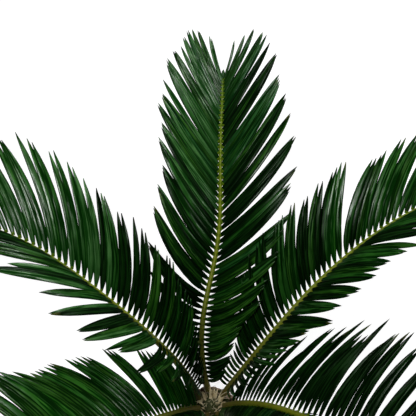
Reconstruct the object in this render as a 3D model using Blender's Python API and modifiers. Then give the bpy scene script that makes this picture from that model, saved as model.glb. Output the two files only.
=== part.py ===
"""Sago palm on a short trunk: trunk, woolly crown heart and seven arching feather fronds.

Metres, +Z up.  The ground is z = 0 and the origin is the middle of the flat cut under the trunk.
Headings are degrees round the trunk from the back (+Y) towards the left (-X).
"""
import bpy
import bmesh
import numpy as np
from math import cos, radians, sin
from mathutils import Vector

# ------------------------------------------------------------------ driving sizes
GAP = 0.0003                     # seat left between pieces that touch
TRUNK_HEIGHT = 0.300
TRUNK_SIDES = 36
TRUNK_PROFILE = (                # height, radius: root flare, stem, cone under the crown
    (0.000, 0.0740), (0.012, 0.0715), (0.035, 0.0665), (0.070, 0.0635), (0.115, 0.0620),
    (0.160, 0.0600), (0.200, 0.0560), (0.235, 0.0500), (0.262, 0.0425), (0.284, 0.0350),
    (0.300, 0.0295),
)
TRUNK_LEAN = (0.010, 0.006)      # how far the crown stands off the foot in x and y

HEART_PROFILE = (                # height above the trunk top, radius
    (0.000, 0.0125), (0.006, 0.0122), (0.012, 0.0105), (0.018, 0.0070), (0.022, 0.0025),
)
HEART_SIDES = 20

FOOT_RING = 0.0212               # radius on which the leaf stalks stand
STALK_HALF_WIDTH = (0.0056, 0.0045, 0.0036, 0.0026, 0.0013)
STALK_THICKNESS = (0.0080, 0.0060, 0.0044, 0.0032, 0.0020)
BLADE_THICKNESS = (0.0020, 0.0018, 0.0014)      # at the stalk, half way out, at the edge
BLADE_STEPS = (0.10, 0.52, 1.0)                 # where those three lie across the blade
FLANGE = 0.0030                                 # spined edge of the bare stalk
SQUARE = 90.0                                   # and its angle off the stalk
SECTOR_CLEARANCE = 0.0016                       # blade edge to the plane shared with a neighbour
LINE_STEPS = 240                                # short straights that the stalk's line is summed from
WING_STEPS = 40                                 # and the same for one leaflet line
CURL_EASE = 0.6                                 # below 1, a leaflet turns most near its root
LEAST_POINTS = 4                                # a blade cut off by its neighbour still has these
LEAST_STEP = 0.0008
STALK_EDGE = 0.72                               # stalk's thickness at its edge over that at its ridge
STATIONS = (0.0, 0.025, 0.050, 0.075, 0.10, 0.13, 0.165, 0.205, 0.25, 0.30, 0.35, 0.40, 0.45,
            0.50, 0.55, 0.60, 0.65, 0.70, 0.75, 0.80, 0.85, 0.90, 0.945, 0.98, 1.0)

# Every wing ends alike: the last leaflets close in this far, and leave a notch at the tip.
WING_END = ((0.7, 50), (0.9, 35), (1.0, 24))

# A wing is one side of a frond.  Every row is knots of (place along the frond, value):
# angle off the stalk, curl towards the tip, raise above the blade's plane, droop of the end, length.
WINGS = {
    "back_left": dict(
        angle=((0.05, 108), (0.15, 98), (0.3, 78), (0.5, 60)) + WING_END,
        curl=((0, 60), (0.2, 50), (0.4, 34), (0.6, 24), (1, 18)),
        lift=((0, 48), (0.5, 42), (1, 38)),
        droop=((0, 24), (1, 24)),
        length=((0.05, 0.05), (0.12, 0.10), (0.3, 0.148), (0.5, 0.162), (0.7, 0.164),
                (0.88, 0.146), (0.93, 0.118), (0.97, 0.078), (1.0, 0.036)),
    ),
    "back_right": dict(
        angle=((0.05, 108), (0.15, 98), (0.3, 78), (0.5, 60)) + WING_END,
        curl=((0, 60), (0.2, 50), (0.4, 34), (0.6, 24), (1, 18)),
        lift=((0, 48), (0.5, 42), (1, 38)),
        droop=((0, 24), (1, 24)),
        length=((0.05, 0.05), (0.12, 0.10), (0.3, 0.152), (0.45, 0.174), (0.7, 0.166),
                (0.88, 0.148), (0.93, 0.118), (0.97, 0.078), (1.0, 0.036)),
    ),
    "left_upper": dict(
        angle=((0.05, 100), (0.15, 86), (0.4, 66)) + WING_END,
        curl=((0, 30), (1, 30)),
        lift=((0, 44), (1, 42)),
        droop=((0, 20), (1, 20)),
        length=((0.05, 0.06), (0.15, 0.10), (0.34, 0.136), (0.48, 0.172), (0.62, 0.177),
                (0.8, 0.177), (0.9, 0.156), (1.0, 0.085)),
    ),
    "left_lower": dict(
        angle=((0.05, 100), (0.15, 80), (0.4, 60), (0.7, 48), (0.9, 35), (1.0, 24)),
        curl=((0, 22), (1, 16)),
        lift=((0, 60), (1, 56)),
        droop=((0, 38), (1, 40)),
        length=((0.05, 0.06), (0.15, 0.124), (0.34, 0.144), (0.6, 0.150), (0.9, 0.130),
                (1.0, 0.080)),
    ),
    "right_upper": dict(
        angle=((0.05, 100), (0.15, 86), (0.4, 64)) + WING_END,
        curl=((0, 34), (1, 30)),
        lift=((0, 44), (1, 42)),
        droop=((0, 20), (1, 20)),
        length=((0.05, 0.06), (0.12, 0.10), (0.25, 0.140), (0.6, 0.147), (0.85, 0.132),
                (1.0, 0.080)),
    ),
    "right_lower": dict(
        angle=((0.05, 100), (0.15, 80), (0.4, 60), (0.7, 48), (0.9, 35), (1.0, 24)),
        curl=((0, 22), (1, 16)),
        lift=((0, 58), (1, 56)),
        droop=((0, 36), (1, 38)),
        length=((0.05, 0.06), (0.15, 0.104), (0.36, 0.130), (0.6, 0.134), (0.9, 0.108),
                (1.0, 0.075)),
    ),
    "near_left_upper": dict(
        angle=((0.05, 86), (0.15, 74), (0.4, 62)) + WING_END,
        curl=((0, 10), (0.3, 26), (1, 26)),
        lift=((0, 55), (0.14, 48), (0.2, 38), (1, 40)),
        droop=((0, 10), (0.14, 15), (0.22, 32), (1, 30)),
        length=((0.05, 0.07), (0.10, 0.10), (0.2, 0.135), (0.45, 0.161), (0.6, 0.174),
                (0.85, 0.150), (1.0, 0.085)),
    ),
    "near_right_upper": dict(
        angle=((0.10, 74), (0.15, 70), (0.4, 60)) + WING_END,
        curl=((0, 24), (1, 24)),
        lift=((0, 44), (1, 42)),
        droop=((0, 18), (1, 18)),
        length=((0.10, 0.07), (0.17, 0.12), (0.25, 0.152), (0.4, 0.186), (0.6, 0.198),
                (0.85, 0.165), (1.0, 0.090)),
    ),
    "plain": dict(
        angle=((0.05, 90), (0.2, 76), (0.4, 62)) + WING_END,
        curl=((0, 22), (1, 22)),
        lift=((0, 34), (0.3, 36), (1, 38)),
        droop=((0, 18), (1, 18)),
        length=((0.05, 0.06), (0.12, 0.11), (0.25, 0.145), (0.6, 0.155), (0.85, 0.130),
                (1.0, 0.075)),
    ),
}

# name, where its stalk stands, heading and rise at five places along it, length,
# where the blade starts, wing on the left, wing on the right (seen along the frond),
# and the headings of the planes it shares with its neighbours (left, right)
FRONDS = (
    ("frond_back", 12, (22, -14, -1, -2, -2), (52, 31, 16, 2, -14), 0.572,
     0.05, "back_left", "back_right", 34, -26),
    ("frond_left", 64, (69, 64, 59, 68, 64), (80, 42, 17, -5, -20), 0.600,
     0.05, "left_lower", "left_upper", 94, 34),
    ("frond_near_left", 116, (124, 128, 126, 125, 125), (40, 24, 7, -10, -30), 0.600,
     0.05, "plain", "near_left_upper", 145, 94),
    ("frond_front_left", 166, (165, 164, 163, 161, 159), (26, 12, -2, -17, -32), 0.580,
     0.12, "plain", "plain", 187, 145),
    ("frond_front_right", 210, (206, 206, 208, 210, 212), (30, 14, -1, -16, -30), 0.580,
     0.12, "plain", "plain", 226, 187),
    ("frond_near_right", 256, (249, 233, 238, 242, 244), (50, 24, 7, -11, -30), 0.597,
     0.10, "near_right_upper", "plain", 272, 226),
    ("frond_right", 306, (303, 309, 303, 296, 300), (52, 36, 18, -1, -20), 0.615,
     0.05, "right_upper", "right_lower", 334, 272),
)

TRUNK_BROWN = (0.20, 0.13, 0.07, 1.0)
WOOL_STRAW = (0.56, 0.42, 0.22, 1.0)
FROND_GREEN = (0.03, 0.12, 0.03, 1.0)


# ------------------------------------------------------------------ helpers
def clear_scene():
    """Take away whatever the new file came with."""
    for thing in list(bpy.data.objects):
        bpy.data.objects.remove(thing, do_unlink=True)


def material(name, colour, roughness):
    """A plain Principled material."""
    made = bpy.data.materials.new(name)
    made.use_nodes = True
    shader = made.node_tree.nodes["Principled BSDF"]
    shader.inputs["Base Color"].default_value = colour
    shader.inputs["Roughness"].default_value = roughness
    made.diffuse_color = colour
    return made


def smooth_knots(values, place):
    """A smooth curve through evenly spaced values, read at a place from 0 to 1."""
    last = len(values) - 1
    x = min(max(place, 0.0), 1.0) * last
    i = min(int(x), last - 1)
    t = x - i
    b = values[i]
    c = values[i + 1]
    a = values[i - 1] if i > 0 else 2 * b - c
    d = values[i + 2] if i + 2 <= last else 2 * c - b
    return 0.5 * (2 * b + (c - a) * t + (2 * a - 5 * b + 4 * c - d) * t * t
                  + (3 * b - a - 3 * c + d) * t ** 3)


def knots(rows, place):
    """Straight runs between knots of (place, value)."""
    return float(np.interp(place, [row[0] for row in rows], [row[1] for row in rows]))


def lean_at(height):
    """Middle of the trunk at a height: upright at the foot and the top, leaning between them."""
    low = TRUNK_PROFILE[1][0]
    high = TRUNK_PROFILE[-2][0]
    share = min(max((height - low) / (high - low), 0.0), 1.0)
    share = share * share * (3 - 2 * share)
    return Vector((TRUNK_LEAN[0] * share, TRUNK_LEAN[1] * share, height))


def finish(mesh_name, bm, paint, home):
    """Turn a worked mesh into one named object with its paint."""
    bmesh.ops.recalc_face_normals(bm, faces=bm.faces)
    mesh = bpy.data.meshes.new(mesh_name)
    bm.to_mesh(mesh)
    bm.free()
    made = bpy.data.objects.new(mesh_name, mesh)
    made.data.materials.append(paint)
    home.objects.link(made)
    return made


def loft(bm, loops):
    """Skin a row of closed loops of equal count and close both ends."""
    rows = [[bm.verts.new(point) for point in loop] for loop in loops]
    count = len(rows[0])
    for lower, upper in zip(rows, rows[1:]):
        for k in range(count):
            n = (k + 1) % count
            bm.faces.new((lower[k], lower[n], upper[n], upper[k]))
    return rows


# ------------------------------------------------------------------ trunk and heart
def build_trunk(paint, home):
    """A tapering curve with filled ends, one point to each row of the profile."""
    line = bpy.data.curves.new("trunk", "CURVE")
    line.dimensions = "3D"
    line.bevel_depth = 1.0
    line.bevel_resolution = TRUNK_SIDES // 2 - 2
    line.use_fill_caps = True
    spline = line.splines.new("POLY")
    spline.points.add(len(TRUNK_PROFILE) - 1)
    for point, (height, radius) in zip(spline.points, TRUNK_PROFILE):
        point.co = (*lean_at(height), 1.0)
        point.radius = radius
    line.materials.append(paint)
    trunk = bpy.data.objects.new("trunk", line)
    home.objects.link(trunk)
    return trunk


def build_heart(paint, home):
    """The woolly bud between the leaf stalks: a turned profile."""
    bm = bmesh.new()
    outline = [(0.0, HEART_PROFILE[-1][0])] + [(r, h) for h, r in HEART_PROFILE[::-1]] + [(0.0, 0.0)]
    spots = [bm.verts.new((radius, 0.0, height)) for radius, height in outline]
    for upper, lower in zip(spots, spots[1:]):
        bm.edges.new((upper, lower))
    mesh = bpy.data.meshes.new("crown_heart")
    bm.to_mesh(mesh)
    bm.free()
    mesh.materials.append(paint)
    heart = bpy.data.objects.new("crown_heart", mesh)
    heart.location = lean_at(TRUNK_HEIGHT) + Vector((0.0, 0.0, GAP))
    home.objects.link(heart)
    screw = heart.modifiers.new("turn", "SCREW")
    screw.steps = HEART_SIDES
    screw.render_steps = HEART_SIDES
    screw.use_merge_vertices = True
    screw.merge_threshold = 0.00001
    return heart


# ------------------------------------------------------------------ fronds
class Frond:
    """The stalk's line and its left and right wings, worked out from one row of FRONDS."""

    def __init__(self, row):
        (self.name, foot, self.heading, self.rise, self.length, self.blade_from,
         left, right, self.left_plane, self.right_plane) = row
        self.wings = {-1: WINGS[left], 1: WINGS[right]}
        crown = lean_at(TRUNK_HEIGHT)
        a = radians(foot)
        self.crown = crown
        self.start = crown + Vector((-sin(a) * FOOT_RING, cos(a) * FOOT_RING, 0.0))
        self.line = [self.start.copy()]
        for k in range(LINE_STEPS):
            ahead = self.frame((k + 0.5) / LINE_STEPS)[0]
            self.line.append(self.line[-1] + ahead * (self.length / LINE_STEPS))

    def frame(self, place):
        """Along, across to the right, and up out of the blade."""
        a = radians(smooth_knots(self.heading, place))
        e = radians(smooth_knots(self.rise, place))
        along = Vector((-sin(a) * cos(e), cos(a) * cos(e), sin(e)))
        across = Vector((cos(a), sin(a), 0.0))
        return along, across, across.cross(along)

    def at(self, place):
        """Point on the stalk's line."""
        x = place * LINE_STEPS
        i = min(int(x), LINE_STEPS - 1)
        return self.line[i].lerp(self.line[i + 1], x - i)

    def clear_of_neighbour(self, point, side):
        """Whether a point keeps its clearance from the plane shared on that side."""
        phi = radians(self.left_plane if side < 0 else self.right_plane)
        away = Vector((-cos(phi), -sin(phi), 0.0))
        depth = (point - self.crown).dot(away) * (-1 if side < 0 else 1)
        return depth >= SECTOR_CLEARANCE

    def wing(self, place, side):
        """One leaflet line from the stalk's edge out, with the blade's own upward side."""
        along, across, up = self.frame(place)
        half = smooth_knots(STALK_HALF_WIDTH, place)
        root = self.at(place) + across * (side * half)
        shape = self.wings[side]
        if place < self.blade_from:
            angle, curl, lift, droop, length = SQUARE, 0.0, 0.0, 0.0, FLANGE
        else:
            angle = knots(shape["angle"], place)
            curl = knots(shape["curl"], place)
            lift = knots(shape["lift"], place)
            droop = knots(shape["droop"], place)
            length = knots(shape["length"], place)
        points = [root]
        ups = []
        for k in range(WING_STEPS):
            t = (k + 0.5) / WING_STEPS
            a = radians(angle - curl * t ** CURL_EASE)
            b = radians(lift - droop * t)
            out = across * (side * cos(b)) + up * sin(b)
            step = along * cos(a) + out * sin(a)
            ahead = points[-1] + step * (length / WING_STEPS)
            if not self.clear_of_neighbour(ahead, side):
                break
            points.append(ahead)
            ups.append(up * cos(b) - across * (side * sin(b)))
        while len(points) < LEAST_POINTS:
            points.append(points[-1] + across * (side * LEAST_STEP))
            ups.append(up)
        ups.append(ups[-1])
        return points, ups

    def section(self, place):
        """Closed loop round the frond at one place: over the top, then back underneath."""
        along, across, up = self.frame(place)
        centre = self.at(place)
        half = smooth_knots(STALK_HALF_WIDTH, place)
        thick = smooth_knots(STALK_THICKNESS, place) / 2
        left = []
        right = []
        for side, bank in ((-1, left), (1, right)):
            points, ups = self.wing(place, side)
            bank.append((centre + across * (side * half), up, thick * STALK_EDGE))
            for share, slab in zip(BLADE_STEPS, BLADE_THICKNESS):
                x = share * (len(points) - 1)
                i = min(int(x), len(points) - 2)
                spot = points[i].lerp(points[i + 1], x - i)
                bank.append((spot, ups[i], slab / 2))
        row = left[::-1] + [(centre, up, thick)] + right
        top = [spot + normal * h for spot, normal, h in row]
        under = [spot - normal * h for spot, normal, h in row]
        loop = top + under[::-1]
        if place == 0.0:
            level = TRUNK_HEIGHT + GAP
            loop = [p + along * ((level - p.z) / along.z) for p in loop]
        return loop

    def build(self, paint, home):
        """Loft the sections and close the two ends with strips across the blade."""
        bm = bmesh.new()
        rows = loft(bm, [self.section(place) for place in STATIONS])
        count = len(rows[0])
        for ring in (rows[0], rows[-1]):
            for k in range(count // 2 - 1):
                bm.faces.new((ring[k], ring[k + 1], ring[count - 2 - k], ring[count - 1 - k]))
        return finish(self.name, bm, paint, home)


# ------------------------------------------------------------------ build
clear_scene()
home = bpy.data.collections.new("sago_palm")
bpy.context.scene.collection.children.link(home)

trunk_paint = material("trunk_bark", TRUNK_BROWN, 0.9)
wool_paint = material("heart_wool", WOOL_STRAW, 0.95)
frond_paint = material("frond_leaf", FROND_GREEN, 0.45)

build_trunk(trunk_paint, home)
build_heart(wool_paint, home)

for row in FRONDS:
    paint = frond_paint.copy()
    paint.name = row[0] + "_leaf"
    Frond(row).build(paint, home)
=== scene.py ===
# %% [markdown]
# # Sago palm
# A young sago palm is a short stout trunk in an armour of old leaf bases, a straw-coloured
# woolly heart, and a ring of long feather fronds.  Each frond is one stalk with some sixty
# stiff narrow leaflets on either side.  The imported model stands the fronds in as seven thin
# blades, which is right for collision but shows no leaflet.  Here every blade is replaced by
# its stalk and its leaflets, the plain trunk by its armour, and the plain heart by scales and
# wool.  All of it is in metres, +Z up, with the origin under the middle of the trunk.

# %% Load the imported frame
import random
from collections import namedtuple
from math import cos, degrees, pi, radians, sin

import bmesh
import bpy
import numpy as np
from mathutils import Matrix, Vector


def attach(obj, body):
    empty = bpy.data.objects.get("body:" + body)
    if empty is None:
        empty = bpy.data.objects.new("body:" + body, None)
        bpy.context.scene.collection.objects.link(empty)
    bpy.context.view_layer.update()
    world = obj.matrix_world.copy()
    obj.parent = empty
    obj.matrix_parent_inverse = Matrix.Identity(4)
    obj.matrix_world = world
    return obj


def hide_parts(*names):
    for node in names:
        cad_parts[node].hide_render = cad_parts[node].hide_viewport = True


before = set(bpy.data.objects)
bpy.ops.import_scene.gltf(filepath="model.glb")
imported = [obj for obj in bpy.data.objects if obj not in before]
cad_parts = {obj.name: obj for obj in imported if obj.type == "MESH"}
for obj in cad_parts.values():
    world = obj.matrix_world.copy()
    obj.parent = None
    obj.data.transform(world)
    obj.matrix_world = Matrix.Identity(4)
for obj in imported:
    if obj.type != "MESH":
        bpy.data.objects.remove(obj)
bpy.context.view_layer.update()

# %% [markdown]
# ## The camera
# The palm is seen from above its front, looking down steeply, through a long lens.  The
# camera's place is worked out from the crown: where the crown lies in the frame and how far
# off it is give one line of sight, and the camera stands at the end of it.  That is steadier
# than typing a location, because a change of tilt keeps the crown in its place.

# %% Camera
def stand(name, data):
    """Put a mesh, a light or a camera into the scene as an object at the origin."""
    thing = bpy.data.objects.new(name, data)
    bpy.context.scene.collection.objects.link(thing)
    return thing


FRAME_WIDTH = 416                # the render is square, this many pixels wide
FIELD_OF_VIEW = radians(23)
LOOK_DOWN = radians(52)
CROWN_AT = (211, 403)            # where the top of the trunk lies, in pixels from the top left
CROWN_AWAY = 1.53                # metres from the camera to there
CROWN = Vector((0.010, 0.006, 0.300))     # middle of the trunk's top
UP = Vector((0, 0, 1))

focal = FRAME_WIDTH / 2 / np.tan(FIELD_OF_VIEW / 2)
ahead = Vector((0, cos(LOOK_DOWN), -sin(LOOK_DOWN)))
above = Vector((0, sin(LOOK_DOWN), cos(LOOK_DOWN)))
sight = (ahead + Vector((1, 0, 0)) * ((CROWN_AT[0] - FRAME_WIDTH / 2) / focal)
         - above * ((CROWN_AT[1] - FRAME_WIDTH / 2) / focal)).normalized()

camera_data = bpy.data.cameras.new("camera")
camera_data.lens_unit = "FOV"
camera_data.angle = FIELD_OF_VIEW
camera_data.clip_end = 50
camera = stand("camera", camera_data)
camera.location = CROWN - sight * CROWN_AWAY
camera.rotation_euler = (pi / 2 - LOOK_DOWN, 0, 0)
bpy.context.scene.camera = camera
print("camera at", [round(v, 3) for v in camera.location])

# %% [markdown]
# ## The plant's measures
# A palm frond is easiest to describe as a maker of wire flowers would: how long the stalk is,
# which way it points, and how far it rises at five places along it.  Headings are degrees
# round the trunk, from the back (+Y) towards the left (-X).
#
# A wing is the row of leaflets on one side.  Five curves, each a few rows of (place along the
# stalk, value), give the angle of its leaflets off the stalk, their curl towards its end,
# their lift above the frond, their droop towards their own tips, and their length.  Other
# values are left out where the usual one serves:
#
# - slits: places where one bundle of leaflets ends and the next begins.  opened: degrees by
#   which some of them gape.  bundles: sizes to choose from where no slit rules.
# - close: how near the leaflets of a bundle lie.  meet: how far their tips gather.
# - stray and ragged: how far chance turns a bundle, and shortens it.
# - fill and feet: breadth of all leaflets, and of their feet.  root: how far out and up they
#   start.  roll and twist: how they turn round their own line.
# - first: place of the first one.  stunted: up to where they stay small.
# - tones: greens to choose from, painted shade and painted sheen among them.  inner: up to where
#   the darker greens are used as painted shade.

# %% Measures of the trunk, the stalks and the wings
TRUNK_HEIGHT = 0.300
TRUNK_PROFILE = (                # height, radius
    (0.000, 0.0740), (0.012, 0.0715), (0.035, 0.0665), (0.070, 0.0635), (0.115, 0.0620),
    (0.160, 0.0600), (0.200, 0.0560), (0.235, 0.0500), (0.262, 0.0425), (0.284, 0.0350),
    (0.300, 0.0295),
)
FOOT_RING = 0.0212               # radius on which the stalks stand
STALK_HALF_WIDTH = (0.0062, 0.0048, 0.0038, 0.0028, 0.0015)
STALK_END = {"back": 0.955}      # the back frond's last leaflets reach on past its stalk
WING_END = ((0.7, 50), (0.9, 35), (1.0, 24))
BACK_END = ((0.91, 0.134), (0.935, 0.108), (0.955, 0.060))
BACK_WING = dict(                # what both wings of the back frond share
    angle=((0.05, 108), (0.15, 98), (0.3, 78), (0.5, 60), (0.7, 50), (0.9, 33), (0.955, 18)),
    curl=((0, 60), (0.2, 50), (0.4, 34), (0.6, 24), (1, 18)),
    lift=((0, 48), (0.5, 42), (1, 38)),
    droop=((0, 24), (1, 24)),
    root=(0.45, 0.6), stunted=0.0, meet=0.6,
)
FLAT_WING = dict(lift=((0, 44), (1, 42)), droop=((0, 20), (1, 20)))
# Tone 5 is a near-black green that stands as painted shade, tone 6 a greyish one that stands as
# painted sheen; wings are dealt them by how they face the panels.
WINGS = {
    "back_left": dict(
        BACK_WING,
        length=((0.03, 0.012), (0.10, 0.026), (0.13, 0.055), (0.16, 0.105), (0.3, 0.148),
                (0.5, 0.162), (0.7, 0.164), (0.88, 0.148)) + BACK_END,
        feet=((0.2, 0.1), (0.4, 0.3), (0.6, 0.7), (0.9, 1.2)),
        close=((0.14, 0.56), (0.40, 0.64), (0.50, 0.80), (0.70, 0.84), (0.85, 1.0)),
        inner=0.38, tones=(0, 2, 3, 6, 6),
        slits=(0.145, 0.180, 0.215, 0.255, 0.298, 0.348, 0.400, 0.448, 0.508, 0.552, 0.592,
               0.628, 0.688, 0.710, 0.743, 0.768, 0.805, 0.842, 0.875, 0.908, 0.943),
    ),
    "back_right": dict(
        BACK_WING,
        length=((0.03, 0.032), (0.06, 0.046), (0.10, 0.056), (0.13, 0.074), (0.16, 0.108),
                (0.3, 0.152), (0.45, 0.174), (0.7, 0.166), (0.88, 0.150)) + BACK_END,
        feet=((0.2, 0.1), (0.4, 0.4), (0.6, 0.9), (0.9, 1.4)),
        close=((0, 0.78), (0.80, 0.80), (0.90, 0.94)),
        slits=(0.145, 0.190, 0.230, 0.270, 0.305, 0.340, 0.378, 0.413, 0.443, 0.465, 0.515,
               0.568, 0.625, 0.653, 0.695, 0.723, 0.750, 0.778, 0.805, 0.850, 0.890, 0.933),
        opened={0.270: 2, 0.340: 2, 0.413: 6, 0.465: 3, 0.515: 4, 0.568: 3, 0.653: 3, 0.723: 5,
                0.778: 3, 0.850: 2},
        inner=0.36, tones=(0, 2, 3, 5, 5),
    ),
    "left_upper": dict(
        FLAT_WING,
        angle=((0.03, 50), (0.10, 58), (0.18, 70), (0.25, 73), (0.4, 66)) + WING_END,
        curl=((0, 14), (0.2, 30), (1, 30)),
        length=((0.03, 0.020), (0.06, 0.042), (0.11, 0.066), (0.15, 0.084), (0.22, 0.110),
                (0.34, 0.136), (0.48, 0.172), (0.62, 0.177), (0.8, 0.177), (0.9, 0.156),
                (1.0, 0.085)),
        feet=((0.0, 1.0), (0.10, 0.6), (0.28, 0.1), (0.40, 0.0), (0.60, 0.35), (0.90, 0.9)),
        stunted=0.03, inner=0.38, tones=(1, 4, 6, 6, 6),
        slits=(0.290, 0.315, 0.335, 0.370, 0.408, 0.433, 0.465, 0.483, 0.505, 0.528, 0.550),
    ),
    "left_lower": dict(
        angle=((0.05, 96), (0.12, 84), (0.2, 77), (0.3, 74), (0.35, 76), (0.38, 64),
               (0.7, 48), (0.9, 35), (1.0, 24)),
        curl=((0, 22), (1, 16)),
        lift=((0, 60), (1, 56)),
        droop=((0, 38), (1, 40)),
        length=((0.03, 0.012), (0.09, 0.034), (0.14, 0.080), (0.18, 0.120), (0.21, 0.154),
                (0.24, 0.164), (0.3, 0.158), (0.35, 0.146), (0.4, 0.164), (0.6, 0.156),
                (0.9, 0.130), (1.0, 0.080)),
        slits=(0.110, 0.140, 0.175, 0.200, 0.228, 0.253, 0.278, 0.308, 0.338, 0.364, 0.390),
        opened={0.228: 3, 0.278: 4, 0.338: 5, 0.390: 5}, close=((0, 0.68),), meet=0.6,
        ragged=0.16, root=(0.25, 0.85), bundles=(1, 2, 2, 3), inner=0.22, tones=(0, 3, 5, 6),
    ),
    "right_upper": dict(
        FLAT_WING,
        angle=((0.05, 92), (0.15, 78), (0.25, 68), (0.4, 63)) + WING_END,
        curl=((0, 34), (1, 30)),
        length=((0.02, 0.028), (0.06, 0.026), (0.10, 0.028), (0.13, 0.050), (0.17, 0.104),
                (0.25, 0.140), (0.6, 0.147), (0.85, 0.132), (1.0, 0.080)),
        slits=(0.330, 0.355, 0.380, 0.408, 0.458, 0.493, 0.505, 0.525, 0.545),
        opened={0.458: 6}, inner=0.34, tones=(0, 1, 1, 3, 4, 5),
    ),
    "right_lower": dict(
        angle=((0.05, 98), (0.10, 84), (0.15, 70), (0.20, 67), (0.25, 70), (0.3, 76),
               (0.35, 71), (0.45, 72), (0.6, 58), (0.9, 35), (1.0, 24)),
        curl=((0, 22), (1, 16)),
        lift=((0, 58), (1, 56)),
        droop=((0, 36), (1, 38)),
        length=((0.02, 0.018), (0.06, 0.036), (0.10, 0.050), (0.14, 0.078), (0.18, 0.098),
                (0.22, 0.112), (0.3, 0.110), (0.4, 0.112), (0.48, 0.128), (0.6, 0.134),
                (0.9, 0.108), (1.0, 0.075)),
        slits=(0.135, 0.150, 0.165, 0.180, 0.205, 0.230, 0.258, 0.288, 0.308, 0.328, 0.350,
               0.380),
        opened={0.258: 3, 0.308: 2, 0.350: 2}, close=((0, 0.76),), meet=0.5, ragged=0.06,
        root=(0.5, 0.7), bundles=(1, 1, 2, 2), inner=0.30, stunted=0.04, tones=(0, 3, 5, 1),
    ),
    "near_left_upper": dict(
        angle=((0.0, 48), (0.03, 58), (0.06, 60), (0.1, 56), (0.15, 58), (0.2, 66),
               (0.3, 77), (0.4, 86), (0.55, 70)) + WING_END,
        curl=((0, 10), (0.3, 26), (1, 26)),
        lift=((0, 86), (0.03, 72), (0.06, 66), (0.09, 56), (0.14, 44), (0.2, 38), (1, 40)),
        droop=((0, 10), (0.14, 15), (0.22, 32), (1, 30)),
        length=((0.0, 0.120), (0.03, 0.116), (0.06, 0.125), (0.10, 0.130), (0.15, 0.140),
                (0.2, 0.150), (0.4, 0.152), (0.6, 0.165), (0.85, 0.145), (1.0, 0.085)),
        slits=(0.020, 0.100, 0.132, 0.200, 0.285, 0.345, 0.410),
        opened={0.132: 6, 0.200: 9, 0.285: 7}, close=((0, 0.86),), meet=0.4,
        roll=-12, twist=-20, first=0.004, stunted=0.0, inner=0.0, tones=(0, 0, 1, 3, 4),
    ),
    "near_right_upper": dict(
        angle=((0.05, 60), (0.1, 58), (0.15, 64), (0.2, 74), (0.25, 82), (0.4, 90),
               (0.55, 72)) + WING_END,
        curl=((0, 24), (1, 24)),
        lift=((0, 44), (1, 42)),
        droop=((0, 18), (1, 18)),
        length=((0.03, 0.030), (0.05, 0.080), (0.08, 0.120), (0.10, 0.132), (0.15, 0.142),
                (0.2, 0.152), (0.3, 0.158), (0.4, 0.162), (0.6, 0.175), (0.85, 0.150),
                (1.0, 0.090)),
        bundles=(1, 1, 1, 2, 2), fill=0.76, stray=3.2, ragged=0.10,
        roll=-12, twist=-20, stunted=0.0, inner=0.0, tones=(5,),
    ),
    "plain": dict(
        angle=((0.0, 62), (0.05, 68), (0.12, 76), (0.2, 74), (0.4, 62)) + WING_END,
        curl=((0, 22), (1, 22)),
        lift=((0, 34), (0.3, 36), (1, 38)),
        droop=((0, 18), (1, 18)),
        length=((0.0, 0.050), (0.03, 0.070), (0.08, 0.100), (0.12, 0.120), (0.25, 0.145),
                (0.6, 0.155), (0.85, 0.130), (1.0, 0.075)),
        roll=-8, first=0.004, stunted=0.0,
    ),
}

# name, where round the trunk's top the stalk stands, heading and rise at five places, length,
# left wing and right wing, seen along the frond
FRONDS = (
    ("back", 12, (22, -14, -1, -2, -2), (52, 31, 16, 2, -14), 0.572,
     "back_left", "back_right"),
    ("left", 64, (69, 64, 59, 68, 64), (80, 42, 17, -5, -20), 0.600,
     "left_lower", "left_upper"),
    ("near_left", 116, (124, 128, 126, 125, 125), (40, 24, 7, -10, -30), 0.600,
     "plain", "near_left_upper"),
    ("front_left", 166, (165, 164, 163, 161, 159), (26, 12, -2, -17, -32), 0.580,
     "plain", "plain"),
    ("front_right", 210, (206, 206, 208, 210, 212), (30, 14, -1, -16, -30), 0.580,
     "plain", "plain"),
    ("near_right", 256, (249, 233, 238, 242, 244), (50, 24, 7, -11, -30), 0.597,
     "near_right_upper", "plain"),
    ("right", 306, (303, 309, 303, 296, 300), (52, 36, 18, -1, -20), 0.615,
     "right_upper", "right_lower"),
)
print(len(FRONDS), "fronds,", len(WINGS), "kinds of wing")

# %% [markdown]
# ## Reading the measures
# Two small helpers read a value between knots: a smooth one for the stalk, where a corner
# would show, and a straight one for the rest.  The frond then is a line summed from short
# straights, each turned to its own heading and rise, with a frame of three directions that
# says which way is along it, across it and up out of it.

# %% Helpers that read the measures
def smooth_knots(values, place):
    """A smooth curve through evenly spaced values, read at a place from 0 to 1."""
    last = len(values) - 1
    x = min(max(place, 0.0), 1.0) * last
    i = min(int(x), last - 1)
    t = x - i
    b = values[i]
    c = values[i + 1]
    a = values[i - 1] if i > 0 else 2 * b - c
    d = values[i + 2] if i + 2 <= last else 2 * c - b
    return 0.5 * (2 * b + (c - a) * t + (2 * a - 5 * b + 4 * c - d) * t * t
                  + (3 * b - a - 3 * c + d) * t ** 3)


def knots(rows, place):
    """Straight runs between knots of (place, value)."""
    return float(np.interp(place, [row[0] for row in rows], [row[1] for row in rows]))


def lean_at(height):
    """Middle of the trunk at a height: upright at the foot and the top, leaning between."""
    low = TRUNK_PROFILE[1][0]
    high = TRUNK_PROFILE[-2][0]
    share = min(max((height - low) / (high - low), 0.0), 1.0)
    share = share * share * (3 - 2 * share)
    return Vector((CROWN.x * share, CROWN.y * share, height))


print("the trunk leans", [round(1000 * v) for v in lean_at(TRUNK_HEIGHT)[:2]], "mm")

# %% A frond's own line, and the paths of its leaflets
LINE_STEPS = 240
LEAFLET_STEPS = 24
CURL_EASE = 0.6                  # below 1, a leaflet turns most near its root
ROOT_AT = (0.75, 0.30)           # a leaflet starts this far out and up, over the half width
Leaflet = namedtuple("Leaflet", "root hold reach tip face_root face_tip length")


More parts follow.
